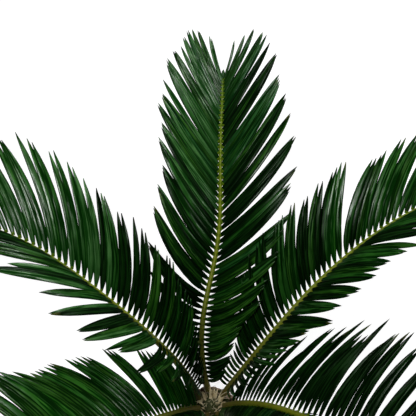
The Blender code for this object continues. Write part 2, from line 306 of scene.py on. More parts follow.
class Frond:
    """One frond: the line of its stalk and the way its leaflets leave it."""

    def __init__(self, row):
        self.name, foot, self.heading, self.rise, self.length, left, right = row
        self.wings = {-1: WINGS[left], 1: WINGS[right]}
        self.end = STALK_END.get(self.name, 1.0)
        a = radians(foot)
        self.line = [CROWN + Vector((-sin(a) * FOOT_RING, cos(a) * FOOT_RING, 0))]
        for k in range(LINE_STEPS):
            step = self.frame((k + 0.5) / LINE_STEPS)[0]
            self.line.append(self.line[-1] + step * (self.length / LINE_STEPS))

    def frame(self, place):
        """Along, across to the right, and up out of the frond."""
        a = radians(smooth_knots(self.heading, place))
        e = radians(smooth_knots(self.rise, place))
        along = Vector((-sin(a) * cos(e), cos(a) * cos(e), sin(e)))
        across = Vector((cos(a), sin(a), 0))
        return along, across, across.cross(along)

    def at(self, place):
        """Point on the stalk's line."""
        x = place * LINE_STEPS
        i = min(int(x), LINE_STEPS - 1)
        return self.line[i].lerp(self.line[i + 1], x - i)

    def leaflet(self, place, side, turn=0.0, raise_by=0.0, length=None):
        """Four points of one leaflet's path, and its upward side at the root and the tip."""
        along, across, up = self.frame(place)
        shape = self.wings[side]
        half = smooth_knots(STALK_HALF_WIDTH, place)
        aside, high = shape.get("root", ROOT_AT)
        root = self.at(place) + across * (side * half * aside) + up * (half * high)
        angle = knots(shape["angle"], place) + turn
        curl = knots(shape["curl"], place)
        lift = knots(shape["lift"], place) + raise_by
        droop = knots(shape["droop"], place)
        length = length or knots(shape["length"], place)
        spot = root.copy()
        steps = []
        ups = []
        for k in range(LEAFLET_STEPS):
            t = (k + 0.5) / LEAFLET_STEPS
            a = radians(angle - curl * t ** CURL_EASE)
            b = radians(lift - droop * t)
            out = across * (side * cos(b)) + up * sin(b)
            steps.append(along * cos(a) + out * sin(a))
            ups.append(up * cos(b) - across * (side * sin(b)))
            spot += steps[-1] * (length / LEAFLET_STEPS)
        return Leaflet(root, root + steps[0] * (length / 3), spot - steps[-1] * (length / 3),
                       spot, ups[0], ups[-1], length)


fronds = [Frond(row) for row in FRONDS]
for frond in fronds:
    print(frond.name, "tip at", [round(v, 3) for v in frond.line[-1]])

# %% [markdown]
# ## Writing node trees as code
# Both the shapes and the finishes here are node trees.  A small helper keeps them readable:
# `add` makes a node, plugs in whatever it is given, and hands back an output, so a tree can be
# written in the order in which it is read.  A value that is a socket becomes a link, and
# anything else is typed into the socket.

# %% A helper for node trees
SOCKETS = {
    "geometry": "NodeSocketGeometry", "object": "NodeSocketObject", "float": "NodeSocketFloat",
    "int": "NodeSocketInt", "material": "NodeSocketMaterial", "color": "NodeSocketColor",
}


class Board:
    """A node tree that grows from left to right."""

    def __init__(self, tree):
        self.tree = tree

    def add(self, kind, plugs=None, out=0, **settings):
        """Make a node, fill its sockets by name or number, and give back one output."""
        node = self.tree.nodes.new(kind)
        for key, value in settings.items():
            setattr(node, key, value)
        for key, value in (plugs or {}).items():
            if isinstance(value, bpy.types.NodeSocket):
                self.tree.links.new(value, node.inputs[key])
            else:
                node.inputs[key].default_value = value
        return node.outputs[out] if len(node.outputs) else node

    def math(self, operation, a, b=0.0):
        return self.add("ShaderNodeMath", {0: a, 1: b}, operation=operation)

    def times(self, a, b):
        return self.math("MULTIPLY", a, b)

    def plus(self, a, b):
        return self.math("ADD", a, b)

    def minus(self, a, b):
        return self.math("SUBTRACT", a, b)

    def vector(self, operation, a, b=(0, 0, 0)):
        return self.add("ShaderNodeVectorMath", {0: a, 1: b}, operation=operation)

    def scaled(self, a, factor):
        return self.add("ShaderNodeVectorMath", {0: a, "Scale": factor}, operation="SCALE")


def new_group(name, kind, ins, outs):
    """A node group with named sockets; gives its board and its input sockets by name."""
    tree = bpy.data.node_groups.new(name, kind)
    for label, socket in ins:
        tree.interface.new_socket(label, in_out="INPUT", socket_type=SOCKETS[socket])
    for label, socket in outs:
        tree.interface.new_socket(label, in_out="OUTPUT", socket_type=SOCKETS[socket])
    board = Board(tree)
    entry = tree.nodes.new("NodeGroupInput")
    return board, {socket.name: socket for socket in entry.outputs if socket.name}


def close_group(board, plugs):
    """Plug the results into the group's outputs."""
    board.add("NodeGroupOutput", plugs)
    print(board.tree.name, "is a tree of", len(board.tree.nodes), "nodes")
    return board.tree


# %% [markdown]
# ## A blade, made once
# A leaflet, a scale of the heart and a stub of the trunk's armour are all one idea: a closed
# section that is swept along a short bent path, and narrows on its way.
# So a blade is modelled straight and flat, in numbers from 0 to 1, as a loft of a few dozen
# faces, and bent later.  X is across it, Y runs from root to tip, Z is its thickness.  Every
# face carries a whole number that says which finish it takes: its top, its underside, its
# foot or its cut end.

# %% Straight patterns of a leaflet, a scale and a stub
TOP, UNDERSIDE, FOOT, END = 0, 1, 2, 3


def mesh_from(bm, name):
    """Turn a finished bmesh into a mesh and let go of it."""
    mesh = bpy.data.meshes.new(name)
    bm.to_mesh(mesh)
    bm.free()
    return mesh


def blade_pattern(name, rows, ring, under_from, foot_rows, cut_end=False, tip_height=1.0):
    """Loft a closed ring of (across, height) through rows of (along, width share)."""
    bm = bmesh.new()
    skin = bm.faces.layers.int.new("skin")
    uv = bm.loops.layers.uv.new("UVMap")
    last = len(rows) - 1
    bank = []
    for i, (along, width) in enumerate(rows):
        height = 1 + (tip_height - 1) * i / last
        bank.append([bm.verts.new((x * width, along, z * height)) for x, z in ring])
    count = len(ring)
    for i in range(last):
        for k in range(count):
            n = (k + 1) % count
            face = bm.faces.new((bank[i][k], bank[i][n], bank[i + 1][n], bank[i + 1][k]))
            face[skin] = UNDERSIDE if k >= under_from else FOOT if i < foot_rows else TOP
    bm.faces.new(bank[0])[skin] = FOOT
    bm.faces.new(bank[-1])[skin] = END if cut_end else UNDERSIDE
    bmesh.ops.recalc_face_normals(bm, faces=bm.faces)
    for face in bm.faces:
        face.smooth = True
        for loop in face.loops:
            loop[uv].uv = (loop.vert.co.x * 0.5 + 0.5, loop.vert.co.y)
    for i in range(last):
        for k in (0, under_from):
            edge = bm.edges.get((bank[i][k], bank[i + 1][k]))
            edge.smooth = False
    if cut_end:
        for k in range(count):
            bm.edges.get((bank[-1][k], bank[-1][(k + 1) % count])).smooth = False
    pattern = stand(name, mesh_from(bm, name))
    print(name, "has", len(pattern.data.polygons), "faces")
    return pattern


LEAFLET_ROWS = (
    (0.0, 0.36), (0.025, 0.46), (0.055, 0.62), (0.09, 0.78), (0.13, 0.92), (0.19, 1.0),
    (0.33, 1.0), (0.48, 1.0), (0.61, 0.98), (0.72, 0.91), (0.81, 0.78), (0.89, 0.57),
    (0.95, 0.33), (1.0, 0.03),
)
LEAFLET_RING = ((1, 0), (0.55, 0.85), (0, 0.5), (-0.55, 0.85), (-1, 0), (0, -0.15))
SCALE_ROWS = ((0.0, 0.8), (0.15, 1.0), (0.4, 0.95), (0.65, 0.68), (0.85, 0.34), (1.0, 0.05))
SCALE_RING = ((1, 0), (0.6, 0.7), (0, 1), (-0.6, 0.7), (-1, 0), (0, -0.5))
STUB_ROWS = ((0.0, 0.9), (0.3, 1.0), (0.7, 0.92), (0.93, 0.80), (1.0, 0.70))
STUB_RING = ((1, 0), (0.55, 0.62), (0, 1), (-0.55, 0.62), (-1, 0), (-0.5, -0.6), (0, -0.8),
             (0.5, -0.6))

TOP_SIDES = 4                    # sides of a ring that belong to the top, in all three

leaflet_pattern = blade_pattern("leaflet_pattern", LEAFLET_ROWS, LEAFLET_RING, TOP_SIDES, 1)
scale_pattern = blade_pattern("scale_pattern", SCALE_ROWS, SCALE_RING, TOP_SIDES, 0,
                              tip_height=0.5)
stub_pattern = blade_pattern("stub_pattern", STUB_ROWS, STUB_RING, TOP_SIDES, 0, cut_end=True)

# %% [markdown]
# ## Bending blades along their paths
# Hundreds of blades that follow a rule are a job for Geometry Nodes.  The starting mesh is
# nothing but points, one to a blade, that carry the four points of a smooth path and the side
# that faces up.  The tree puts a pattern on each point, makes the copies real, and then moves
# every vertex: De Casteljau's three rounds of mixing find its place on the path and the way
# the path runs there, and two cross products give it a side and an upward direction.  Each
# blade is also rolled a little, with a fixed seed, because no leaflet lies quite flat.

# %% The tree that bends blades
FOOT_PART = 0.1                  # share of a blade that its broader foot takes up
OTHER_SKINS = 3                  # finishes at the end of the list: underside, foot, cut end


def blade_tree(name, paints):
    """Geometry Nodes: patterns on points, bent along each point's own path and painted."""
    sizes = [("Geometry", "geometry"), ("Pattern", "object"), ("Half width", "float"),
             ("Thickness", "float"), ("Roll spread", "float"), ("Seed", "int")]
    t, given = new_group(name, "GeometryNodeTree",
                         sizes + [(paint, "material") for paint in paints],
                         [("Geometry", "geometry")])

    def read(label, kind="FLOAT_VECTOR"):
        return t.add("GeometryNodeInputNamedAttribute", {"Name": label}, data_type=kind)

    def mix(factor, a, b):
        """Mix two vectors; a Mix node keeps its vector sockets at 4 and 5."""
        return t.add("ShaderNodeMix", {0: factor, 4: a, 5: b}, out=1, data_type="VECTOR")

    pattern = t.add("GeometryNodeObjectInfo", {"Object": given["Pattern"]}, out="Geometry")
    copies = t.add("GeometryNodeInstanceOnPoints",
                   {"Points": given["Geometry"], "Instance": pattern})
    real = t.add("GeometryNodeRealizeInstances", {"Geometry": copies})

    root, hold, reach, tip = (read(label) for label in ("root", "hold", "reach", "tip"))
    local = t.vector("SUBTRACT", t.add("GeometryNodeInputPosition"), root)
    split = t.add("ShaderNodeSeparateXYZ", {0: local}).node
    across, along, height = split.outputs

    first, second, third = mix(along, root, hold), mix(along, hold, reach), mix(along, reach, tip)
    early, late = mix(along, first, second), mix(along, second, third)
    spot = mix(along, early, late)
    forward = t.vector("NORMALIZE", t.vector("SUBTRACT", late, early))
    face = mix(along, read("face_root"), read("face_tip"))
    side = t.vector("NORMALIZE", t.vector("CROSS_PRODUCT", forward, face))
    up = t.vector("CROSS_PRODUCT", side, forward)

    spread = given["Roll spread"]
    chance = t.add("FunctionNodeRandomValue",
                   {2: t.times(spread, -1.0), 3: spread, "ID": read("number", "INT"),
                    "Seed": given["Seed"]}, out=1)
    twist = t.times(read("twist", "FLOAT"), t.times(along, along))
    roll = t.plus(t.plus(read("roll", "FLOAT"), twist), chance)
    turned = [t.add("ShaderNodeVectorRotate", {"Vector": v, "Axis": forward, "Angle": roll})
              for v in (side, up)]
    near_foot = t.math("MAXIMUM", t.minus(1.0, t.times(along, 1 / FOOT_PART)))
    broader = t.plus(t.times(near_foot, read("foot", "FLOAT")), 1.0)
    width = t.times(t.times(read("width", "FLOAT"), broader), given["Half width"])
    thick = t.times(read("width", "FLOAT"), given["Thickness"])
    aside = t.scaled(turned[0], t.times(across, width))
    raised = t.scaled(turned[1], t.times(height, thick))
    bent = t.add("GeometryNodeSetPosition",
                 {"Geometry": real,
                  "Position": t.vector("ADD", spot, t.vector("ADD", aside, raised))})

    tone = read("tone", "INT")
    skin = read("skin", "INT")
    is_top = t.add("FunctionNodeCompare", {2: skin, 3: TOP}, data_type="INT", operation="EQUAL")
    tones = len(paints) - OTHER_SKINS
    other = t.plus(skin, tones - 1.0)
    paint_number = t.add("GeometryNodeSwitch", {0: is_top, 1: other, 2: tone},
                         input_type="FLOAT")
    painted = bent
    for k, paint in enumerate(paints):
        chosen = t.add("FunctionNodeCompare", {0: paint_number, 1: float(k), "Epsilon": 0.1},
                       data_type="FLOAT", operation="EQUAL")
        painted = t.add("GeometryNodeSetMaterial",
                        {"Geometry": painted, "Selection": chosen, "Material": given[paint]})
    return close_group(t, {"Geometry": painted})


# %% Points that carry the paths, and a way to run a tree on them
def points_mesh(name, rows, edges=()):
    """A mesh of points whose attributes are the columns of rows, a list of dictionaries."""
    mesh = bpy.data.meshes.new(name)
    mesh.from_pydata([row["root"] for row in rows], edges, [])
    for key, sample in rows[0].items():
        kind = ("FLOAT_VECTOR" if isinstance(sample, Vector) else
                "INT" if isinstance(sample, int) else "FLOAT")
        field = "vector" if kind == "FLOAT_VECTOR" else "value"
        column = np.array([row[key] for row in rows]).ravel()
        mesh.attributes.new(key, kind, "POINT").data.foreach_set(field, column)
    return mesh


def grow(name, mesh, tree, settings):
    """Run a tree on a mesh and keep the result as a plain object at the origin."""
    seed = stand(name + "_points", mesh)
    modifier = seed.modifiers.new("grow", "NODES")
    modifier.node_group = tree
    for item in tree.interface.items_tree:
        if item.in_out == "INPUT" and item.name in settings:
            modifier[item.identifier] = settings[item.name]
    evaluated = seed.evaluated_get(bpy.context.evaluated_depsgraph_get())
    grown = bpy.data.meshes.new_from_object(evaluated)
    grown.name = name
    bpy.data.objects.remove(seed)
    triangles = sum(len(face.vertices) - 2 for face in grown.polygons)
    print(name, "has", triangles, "triangles")
    return stand(name, grown)


# %% [markdown]
# ## Finishes of the leaves
# A sago leaflet is nearly black-green, stiff and waxed, with fine lines that run its whole
# length.  No two are the same green, so there are seven plain greens, dealt out leaflet by
# leaflet; one near black is painted shade, and one greyish is painted sheen.  What they share is
# one group.  Lines stretched along the leaflet are smoother and waxed, and lighter, which is
# partly painted highlight.  What lies between them, the borders and the places where the wax is
# thin stay dull and dark; the dark borders are painted shade, and so is the darker colour
# towards the foot, where the lines fade.  Some leaflets end in a drier tip.  The lines follow the
# leaflet because they read its own UV map, whose V runs from root to tip.

# %% Helpers for finishes
OPAQUE = (1.0,)                  # ends a colour of red, green and blue


def shader_board(name):
    """A new material: its board and its Principled shader."""
    paint = bpy.data.materials.new(name)
    paint.use_nodes = True
    return paint, Board(paint.node_tree), paint.node_tree.nodes["Principled BSDF"]


def noise(board, vector, scale, detail=2.0):
    """Noise centred on one half."""
    return board.add("ShaderNodeTexNoise", {"Vector": vector, "Scale": scale, "Detail": detail})


def fit(board, value, low, high, to_low=0.0, to_high=1.0):
    """Carry a value from one range to another, and hold it at the ends."""
    return board.add("ShaderNodeMapRange", {"Value": value, "From Min": low, "From Max": high,
                                            "To Min": to_low, "To Max": to_high})


def mix_color(board, factor, a, b):
    """Mix two colours; a Mix node keeps its colour sockets at 6 and 7."""
    return board.add("ShaderNodeMix", {0: factor, 6: a, 7: b}, out=2, data_type="RGBA")


def add_bump(board, shader, height, strength, distance):
    """Lift a surface by a height, and give back the new normal."""
    bump = board.add("ShaderNodeBump", {"Height": height, "Strength": strength,
                                        "Distance": distance})
    board.tree.links.new(bump, shader.inputs["Normal"])
    return bump


def surface_paint(name, surface, values, links, strength, distance):
    """A finish out of a shared surface and the values that are its own."""
    paint, board, shader = shader_board(name)
    group = board.add("ShaderNodeGroup", node_tree=surface).node
    for key, value in values.items():
        group.inputs[key].default_value = value
    for key, socket in links.items():
        board.tree.links.new(group.outputs[key], shader.inputs[socket])
    bump = add_bump(board, shader, group.outputs["Height"], strength, distance)
    return paint, board, shader, bump


# %% The shared leaf surface
LINES_ACROSS = 4.5               # scale of the light lines over a leaflet's width
LINES_ALONG = 2.5                # and of the breaks in them over its length
NO_TWO_ALIKE = 97.0              # moves each leaflet to its own part of the noise
DULL = 0.85                      # roughness between the lines
CLOUDS = 45.0                    # scale of the patches where the wax is thin


def leaf_surface_group():
    """Waxed lines over a dull green, thinner in patches and near the foot, with painted highlight
    on the lines and painted shade at the foot and the borders.
    """
    s, given = new_group(
        "leaf surface", "ShaderNodeTree",
        [("Green", "color"), ("Line green", "color"), ("Dry tip", "color"), ("Rough", "float"),
         ("Shine", "float")],
        [("Color", "color"), ("Roughness", "float"), ("Wax", "float"), ("Height", "float")])
    chance = s.add("ShaderNodeAttribute", out="Fac", attribute_name="chance")
    uv = s.add("ShaderNodeUVMap", uv_map="UVMap")
    u, v, _ = s.add("ShaderNodeSeparateXYZ", {0: uv}).node.outputs
    line_spot = s.add("ShaderNodeCombineXYZ", {0: s.times(u, LINES_ACROSS),
                                               1: s.times(v, LINES_ALONG),
                                               2: s.times(chance, NO_TWO_ALIKE)})
    lines = noise(s, line_spot, 1.0, 2.0)
    cloud = noise(s, s.add("ShaderNodeTexCoord", out="Object"), CLOUDS, 2.0)
    # Towards the foot the lines fade: less wax, and a darker colour that is painted shade.
    patch = s.times(fit(s, cloud, 0.32, 0.60, 0.5, 1.0), fit(s, v, 0.08, 0.55, 0.35, 1.0))
    # Dark borders along the leaflet's edges: painted shade.
    border_shade = fit(s, s.math("ABSOLUTE", s.minus(u, 0.5)), 0.30, 0.43, 1.0, 0.0)
    share = s.times(s.times(fit(s, lines, 0.45, 0.54), patch), border_shade)
    # The lighter green on the lines is partly painted highlight.
    green = mix_color(s, share, given["Green"], given["Line green"])
    dryness = s.times(fit(s, v, 0.90, 1.0), fit(s, chance, 0.8, 1.0, 0.0, 0.8))
    color = mix_color(s, dryness, green, given["Dry tip"])
    smoother = s.times(share, s.minus(DULL, given["Rough"]))
    rough = s.minus(DULL, smoother)
    return close_group(s, {"Color": color, "Roughness": rough,
                           "Wax": s.times(share, given["Shine"]), "Height": lines})


leaf_surface = leaf_surface_group()

# %% The greens
DRY_TIP = (0.16, 0.17, 0.03)
LEAF_SHEEN = (0.35, 1.0, 0.30)   # under the wax, the leaf's own weak sheen is green


def leaf_paint(name, green, line_and_highlight_green, rough, shine=0.0):
    """A leaf finish out of the shared surface and its own greens."""
    paint, board, shader, bump = surface_paint(
        name, leaf_surface,
        {"Green": green + OPAQUE, "Line green": line_and_highlight_green + OPAQUE, "Dry tip": DRY_TIP + OPAQUE,
         "Rough": rough, "Shine": shine},
        {"Color": "Base Color", "Roughness": "Roughness", "Wax": "Coat Weight"},
        strength=0.6, distance=0.0008)
    shader.inputs["Specular IOR Level"].default_value = 0.10
    shader.inputs["Specular Tint"].default_value = LEAF_SHEEN + OPAQUE
    shader.inputs["Coat Roughness"].default_value = 0.25
    shader.inputs["Coat IOR"].default_value = 1.7
    board.tree.links.new(bump, shader.inputs["Coat Normal"])
    return paint


LEAF_GREENS = (                  # name, between the lines, on the lines (partly painted highlight), roughness, shine
    ("deep green", (0.0010, 0.018, 0.0007), (0.020, 0.125, 0.012), 0.28, 0.9),
    ("forest green", (0.0012, 0.026, 0.0009), (0.026, 0.155, 0.014), 0.32, 1.0),
    ("blue green", (0.0008, 0.020, 0.0020), (0.021, 0.130, 0.021), 0.26, 1.0),
    ("dark olive", (0.0018, 0.020, 0.0006), (0.028, 0.130, 0.009), 0.34, 0.9),
    ("fresh green", (0.0018, 0.038, 0.0010), (0.038, 0.205, 0.016), 0.32, 1.0),
    # near black, painted shade: dealt most to shaded leaflets low on the stalk and to wings that
    # face away from the panels, and now and then among the others
    ("bottle green", (0.0001, 0.004, 0.0001), (0.004, 0.034, 0.002), 0.30, 0.3),
    # greyish and light, painted sheen: dealt to wings that catch the panels' sheen
    ("waxy green", (0.0050, 0.046, 0.0040), (0.075, 0.230, 0.055), 0.32, 1.0),
)
leaf_paints = {row[0]: leaf_paint(*row) for row in LEAF_GREENS}
leaf_paints["underside"] = leaf_paint("leaf underside", (0.016, 0.050, 0.008),
                                      (0.045, 0.100, 0.020), 0.55)
leaf_paints["foot"] = leaf_paint("leaf foot", (0.100, 0.180, 0.006), (0.150, 0.250, 0.012), 0.50)
leaf_paints["end"] = leaf_paints["foot"]
print(len(LEAF_GREENS), "greens, an underside and a foot")

# %% [markdown]
# ## The leaflets
# Leaflets stand 7 to 11 mm apart on the stalk.  They don't spread evenly: two to four
# neighbours lie together and their tips meet, and a narrow slit of light opens between one
# bundle and the next.  So each row is dealt into bundles, every leaflet in a bundle turns
# towards the middle one, and every bundle as a whole is turned and raised by a little chance.
# The foot of the stalk carries short slender ones, which are leaflets that never grew.

# %% Where the leaflets stand, and how broad they are
# place along the stalk, distance to the next leaflet
PITCH = ((0.0, 0.0066), (0.15, 0.0073), (0.35, 0.0097), (0.6, 0.0109), (0.9, 0.0100),
         (1.0, 0.0080))
FIRST_LEAFLET = 0.03
LAST_LEAFLET = 0.985
FULL_SPACING = 0.0075            # leaflets that stand this far apart have their full width
BREADTHS = (0.6, 1.35)           # least and greatest share of that width
HALF_WIDTH = 0.0042
STUNTED_TO = 0.12                # below this place leaflets are stunted and stand alone
SLENDER = 0.70                   # width of those, as a share of what the rest have


def leaflet_places(frond, shape):
    """Where the leaflets of a wing stand along the stalk."""
    places = []
    place = shape.get("first", FIRST_LEAFLET)
    while place < LAST_LEAFLET * frond.end:
        places.append(place)
        place += knots(PITCH, place) / frond.length
    return places


def width_at(shape, place):
    """A leaflet's width as a share of the full one: less where it is stunted or crowded."""
    stunted = shape.get("stunted", STUNTED_TO)
    slender = ((stunted * 0.5, SLENDER), (stunted * 1.3 + 0.001, 1.0))
    spacing = knots(PITCH, place) * sin(radians(knots(shape["angle"], place))) / FULL_SPACING
    return (knots(slender, place) * min(max(spacing, BREADTHS[0]), BREADTHS[1])
            * shape.get("fill", 1.0))


print([len(leaflet_places(frond, frond.wings[1])) for frond in fronds], "leaflets on right wings")

# %% [markdown]
# ### Closing leaflets up into bundles
# How far two neighbours have to turn before they touch is measured, not guessed.  Both are
# laid out unturned, the gap between them is taken square to their run, well out towards the
# tips, and the turn is what brings that gap down to a leaflet's width or less.  It holds for
# every wing, however its leaflets lean.  Bundles end at the slits that a wing names, and
# where it names none their sizes are dealt by chance.

# %% How far neighbours turn to close up
CLOSED_AT = 0.70                 # place on a leaflet where its bundle has closed up
CLOSED_TO = ((0.0, 0.84),)       # neighbours' distance there, over their width, by place


def point_on(path, t):
    """Point on a leaflet's smooth path."""
    return (path.root * (1 - t) ** 3 + path.hold * (3 * t * (1 - t) ** 2)
            + path.reach * (3 * t * t * (1 - t)) + path.tip * t ** 3)


def apart_at(path, other, t):
    """How far two neighbouring leaflets lie apart, measured square to them."""
    run = (point_on(path, t + 0.05) - point_on(path, t - 0.05)).normalized()
    gap = point_on(other, t) - point_on(path, t)
    return (gap - run * gap.dot(run)).length


def closing_turns(shape, places, spread):
    """Degrees between each leaflet and the next at which the two have closed up."""
    turns = []
    for place, path, other in zip(places, spread, spread[1:]):
        closed = (knots(shape.get("close", CLOSED_TO), place) * 2 * HALF_WIDTH
                  * width_at(shape, place))
        turns.append(degrees((apart_at(path, other, CLOSED_AT) - closed)
                             / (CLOSED_AT * path.length)))
    return turns + [0.0]


# %% Deal a wing into bundles
BUNDLES = (1, 2, 2, 3, 3, 4)
STRAY = 1.2                      # degrees by which chance turns a bundle
RAISED = (-3.0, 3.0)             # and raises it
RAGGED = 0.035                   # share by which chance changes its length


def bundle_sizes(rng, places, shape):
    """Sizes of bundles: by the wing's own slits where it has any, by chance elsewhere."""
    slits = shape.get("slits", ())
    sizes = []
    while sum(sizes) < len(places):
        first = sum(sizes)
        grown = places[first] > shape.get("stunted", STUNTED_TO)
        size = rng.choice(shape.get("bundles", BUNDLES)) if grown else 1
        ahead = [slit for slit in slits if slit > places[first]]
        if ahead:
            room = sum(1 for place in places[first:] if place <= ahead[0])
            size = room if grown and len(ahead) < len(slits) else min(size, room)
        sizes.append(max(size, 1))
    return sizes


def opening_before(shape, places, first):
    """Half the degrees by which the slit before a leaflet gapes."""
    if not 0 < first < len(places):
        return 0.0
    return sum(gape / 2 for slit, gape in shape.get("opened", {}).items()
               if places[first - 1] <= slit < places[first])


def bundle_turns(rng, shape, places, closing):
    """Each leaflet's turn, rise, share of length, and the first leaflet of its bundle."""
    ragged = shape.get("ragged", RAGGED)
    turns = []
    for size in bundle_sizes(rng, places, shape):
        first = len(turns)
        inner = closing[first:first + size - 1]
        fan = [sum(inner[:k]) for k in range(size)]
        middle = sum(fan) / size
        whole = rng.uniform(-1.0, 1.0) * shape.get("stray", STRAY)
        whole += opening_before(shape, places, first + size)
        whole -= opening_before(shape, places, first)
        raised = rng.uniform(*RAISED)
        longer = rng.uniform(1.0 - 1.5 * ragged, 1.0 + ragged)
        turns += [(turn - middle + whole, raised, longer, first) for turn in fan]
    return turns[:len(places)]


# %% [markdown]
# ### A row for every leaflet
# Each leaflet becomes one row of values: the four points of its path, where its upper side
# faces, its breadth, its green, and the numbers that chance gives it.  Low on the stalk the
# fronds shade one another, so there the darkest green comes up most, as painted shade.

# %% Every leaflet of a frond
ONE_TURN = (-0.5, 0.5)           # chance in a single leaflet's turn and rise, in degrees
ONE_RISE = (-1.0, 1.0)
ONE_LENGTH = (0.97, 1.03)        # and in its length
TIPS_MEET = 0.50                 # share of the way from its own tip to the bundle's middle
ONE_MEET = (0.7, 1.1)            # chance in that
REACH_MOVES = 0.25               # how much of the tip's way the point before it goes along
# how much broader than its pattern a leaflet's foot is, by place
BROAD_FEET = ((0.10, 0.4), (0.28, 0.1), (0.40, 0.0), (0.60, 0.35), (0.90, 0.9))
SHINGLE = 12                     # each leaflet's roll over its neighbour, in degrees
TWIST = 18                       # and how much further it has rolled at its tip
TONES = (0, 1, 2, 3, 5)          # greens that a wing is dealt, by their number
SHADE_TONES = (5, 5, 5, 0, 3)    # mostly the near-black green: painted shade for the leaflets low on the stalk
SHADE_TO = 0.22                  # where those end
SHADE_EDGE = (0.7, 1.3)          # and how much chance moves that end
END_LEAFLET = 0.030              # length of the single leaflet that ends the stalk


def wing_rows(frond, side, rng, count):
    """Every leaflet of a wing as a dictionary of its path and its chances."""
    shape = frond.wings[side]
    places = leaflet_places(frond, shape)
    spread = [frond.leaflet(place, side) for place in places]
    turns = bundle_turns(rng, shape, places, closing_turns(shape, places, spread))
    paths = []
    for place, (turn, raised, longer, _) in zip(places, turns):
        length = knots(shape["length"], place) * longer * rng.uniform(*ONE_LENGTH)
        paths.append(frond.leaflet(place, side, turn + rng.uniform(*ONE_TURN),
                                   raised + rng.uniform(*ONE_RISE), length))
    rows = []
    for place, path, (*_, first) in zip(places, paths, turns):
        tips = [other.tip for other, turn in zip(paths, turns) if turn[3] == first]
        centre = sum(tips, Vector()) / len(tips)
        shift = (centre - path.tip) * shape.get("meet", TIPS_MEET) * rng.uniform(*ONE_MEET)
        # Low on the stalk the near-black greens stand as painted shade.
        shaded = place < shape.get("inner", SHADE_TO) * rng.uniform(*SHADE_EDGE)
        rows.append(dict(
            root=path.root, hold=path.hold, reach=path.reach + shift * REACH_MOVES,
            tip=path.tip + shift, face_root=path.face_root, face_tip=path.face_tip,
            roll=radians(side * shape.get("roll", SHINGLE)),
            twist=radians(side * shape.get("twist", TWIST)),
            number=count + len(rows), width=width_at(shape, place),
            foot=knots(shape.get("feet", BROAD_FEET), place),
            tone=rng.choice(SHADE_TONES if shaded else shape.get("tones", TONES)),
            chance=rng.random()))
    return rows


def end_row(frond, count):
    """The single leaflet that ends the stalk and covers its blunt tip."""
    along, _, up = frond.frame(frond.end)
    root = frond.at(frond.end) - along * (END_LEAFLET * 0.4) + up * STALK_HALF_WIDTH[-1]
    return dict(root=root, hold=root + along * (END_LEAFLET * 0.33),
                reach=root + along * (END_LEAFLET * 0.67), tip=root + along * END_LEAFLET,
                face_root=up, face_tip=up, roll=0.0, twist=0.0, number=count, width=0.7,
                foot=1.0, tone=1, chance=0.0)


def leaflet_rows(frond, rng):
    """Both wings of a frond and the leaflet at its end."""
    rows = wing_rows(frond, -1, rng, 0)
    rows += wing_rows(frond, 1, rng, len(rows))
    return rows + [end_row(frond, len(rows))]


# %% Grow the leaflets of every frond
def blade_settings(paints, pattern, half_width, thickness, roll, seed):
    """Values for a blade tree's named inputs; paints is a dictionary of finishes."""
    return {"Pattern": pattern, "Half width": half_width, "Thickness": thickness,
            "Roll spread": radians(roll), "Seed": seed, **paints}


THICKNESS = 0.0014
FIRST_SEED = 100
leaf_tree = blade_tree("leaflets along a stalk", list(leaf_paints))
leaf_settings = blade_settings(leaf_paints, leaflet_pattern, HALF_WIDTH, THICKNESS, roll=5, seed=4)

for number, frond in enumerate(fronds):
    rows = leaflet_rows(frond, random.Random(FIRST_SEED + number))
    name = "leaflets_" + frond.name
    piece = grow(name, points_mesh(name, rows), leaf_tree, leaf_settings)
    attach(piece, "root")
    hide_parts("frond_" + frond.name)

# %% [markdown]
# ## The stalks
# A stalk is a tapering tube that follows the frond's line, a little wider than it is thick,
# with its back towards the sky.  A second tree sweeps a circle along a line of edges.  The
# line's own upward side is set as its normal, so that the flattened section never twists, and
# the tube's radius is an attribute of each point.  The same tree makes the fibres of the
# heart, which are tubes too.

# %% The tree that sweeps tubes
def tube_tree(name):
    """Geometry Nodes: a flattened circle swept along a line of edges."""
    t, given = new_group(name, "GeometryNodeTree",
                         [("Geometry", "geometry"), ("Sides", "int"), ("Flatness", "float"),
                          ("Finish", "material")], [("Geometry", "geometry")])
    line = t.add("GeometryNodeMeshToCurve", {"Mesh": given["Geometry"]})
    face = t.add("GeometryNodeInputNamedAttribute", {"Name": "face"}, data_type="FLOAT_VECTOR")
    thick = t.add("GeometryNodeInputNamedAttribute", {"Name": "thick"}, data_type="FLOAT")
    line = t.add("GeometryNodeSetCurveNormal", {"Curve": line, "Normal": face}, mode="FREE")
    ring = t.add("GeometryNodeCurvePrimitiveCircle", {"Resolution": given["Sides"], "Radius": 1.0})
    shape = t.add("ShaderNodeCombineXYZ", {0: 1.0, 1: given["Flatness"], 2: 1.0})
    ring = t.add("GeometryNodeTransform", {"Geometry": ring, "Scale": shape})
    tube = t.add("GeometryNodeCurveToMesh", {"Curve": line, "Profile Curve": ring,
                                             "Scale": thick, "Fill Caps": True})
    real = t.add("GeometryNodeRealizeInstances", {"Geometry": tube})
    smooth = t.add("GeometryNodeSetShadeSmooth", {"Geometry": real})
    painted = t.add("GeometryNodeSetMaterial", {"Geometry": smooth, "Material": given["Finish"]})
    return close_group(t, {"Geometry": painted})


tubes = tube_tree("tubes along lines")

# %% [markdown]
# ## Finish of the stalks
# The stalk is brownish where it leaves the heart, olive a hand's breadth out, and a fresh
# yellow-green for the rest, with some dark scurf all along.  Its place along the frond is kept
# on the mesh as an attribute, and a colour ramp reads it, shifted a little by blotchy noise.

